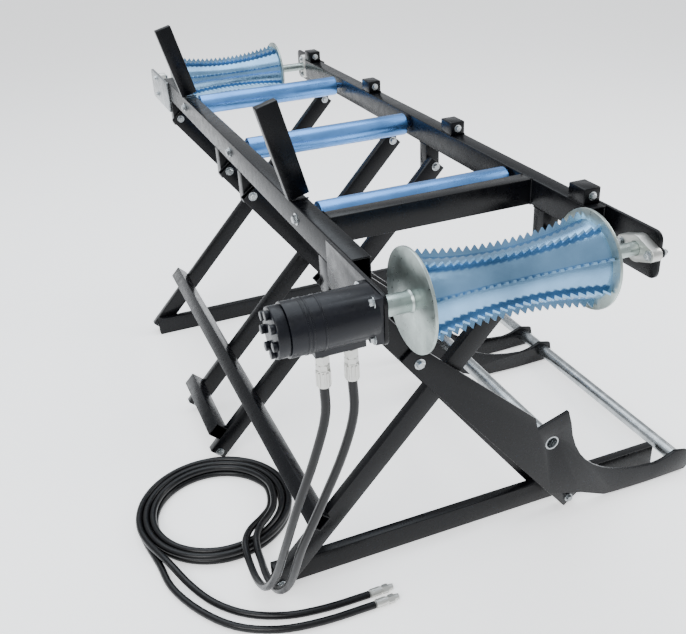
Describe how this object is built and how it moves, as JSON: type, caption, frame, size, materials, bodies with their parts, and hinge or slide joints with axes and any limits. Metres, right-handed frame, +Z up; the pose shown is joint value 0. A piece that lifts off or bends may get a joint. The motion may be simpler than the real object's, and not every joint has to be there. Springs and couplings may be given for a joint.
{
  "type": "hydraulic log roller table",
  "caption": "Roller infeed table for logs: two rails on crossed legs, toothed rollers with a hydraulic motor, plain rollers and loading hooks on one side.",
  "frame": {"origin": "on the floor, under the middle of the table without its hoses", "axes": "+X across the table to the hook side, +Y along the rails to the far roller, +Z up"},
  "size_m": [1.453, 2.121, 1.1109],
  "materials": {
    "black_paint": "satin powder coat",
    "blue_zinc": "blue passivated zinc plate",
    "zinc": "bright zinc plate",
    "motor_black": "semi gloss paint over castings",
    "fitting_steel": "plated steel",
    "hose_rubber": "smooth black hose cover"
  },
  "bodies": {
    "frame": {"bearing_far_left": "motor_black", "bearing_far_right": "motor_black", "bearing_near_right": "motor_black", "cross_rod": "zinc", "cross_tube": "black_paint", "end_plate_far_left": "zinc", "end_plate_far_right": "black_paint", "end_plate_near_left": "black_paint", "end_plate_near_right": "black_paint", "foot_beam_far": "black_paint", "foot_beam_near": "black_paint", "hook_plate_far": "black_paint", "hook_plate_middle": "black_paint", "hook_plate_near": "black_paint", "hose_coil": "hose_rubber", "hose_end_a": "fitting_steel", "hose_end_b": "fitting_steel", "hose_fitting_a": "fitting_steel", "hose_fitting_b": "fitting_steel", "hose_lead_a": "hose_rubber", "hose_lead_b": "hose_rubber", "hose_tail_a": "hose_rubber", "hose_tail_b": "hose_rubber", "leg_left_A": "black_paint", "leg_left_B": "black_paint", "leg_left_C": "black_paint", "leg_left_D": "black_paint", "leg_right_a": "black_paint", "leg_right_b": "black_paint", "leg_right_c": "black_paint", "leg_right_d": "black_paint", "leg_right_e": "black_paint", "motor_end_cover": "motor_black", "motor_housing": "motor_black", "post_left_a": "black_paint", "post_left_b": "black_paint", "post_left_c": "black_paint", "post_left_d": "black_paint", "post_right_A": "black_paint", "post_right_B": "black_paint", "post_right_C": "black_paint", "post_right_D": "black_paint", "rail_block_1": "black_paint", "rail_block_2": "black_paint", "rail_block_3": "black_paint", "rail_block_4": "black_paint", "rail_left": "black_paint", "rail_right": "black_paint", "stake_far": "black_paint", "stake_near": "black_paint", "tie_tube_long": "black_paint", "tie_tube_short": "black_paint", "tip_rod": "zinc"},
    "near_roller": {"toothed_roller_near": "blue_zinc"},
    "far_roller": {"toothed_roller_far": "blue_zinc"},
    "idle_1": {"idle_roller_1": "blue_zinc"},
    "idle_2": {"idle_roller_2": "blue_zinc"},
    "idle_3": {"idle_roller_3": "blue_zinc"}
  },
  "joints": [
    {"name": "near_roller_spin", "type": "hinge", "parent": "frame", "child": "near_roller", "pos_m": [0, -0.9625, 0.848], "axis": [1, 0, 0], "continuous": true},
    {"name": "far_roller_spin", "type": "hinge", "parent": "frame", "child": "far_roller", "pos_m": [0, 0.9505, 0.848], "axis": [1, 0, 0], "continuous": true},
    {"name": "idle_1_spin", "type": "hinge", "parent": "frame", "child": "idle_1", "pos_m": [0, -0.53, 0.86], "axis": [1, 0, 0], "continuous": true},
    {"name": "idle_2_spin", "type": "hinge", "parent": "frame", "child": "idle_2", "pos_m": [0, 0.009, 0.86], "axis": [1, 0, 0], "continuous": true},
    {"name": "idle_3_spin", "type": "hinge", "parent": "frame", "child": "idle_3", "pos_m": [0, 0.548, 0.86], "axis": [1, 0, 0], "continuous": true}
  ]
}
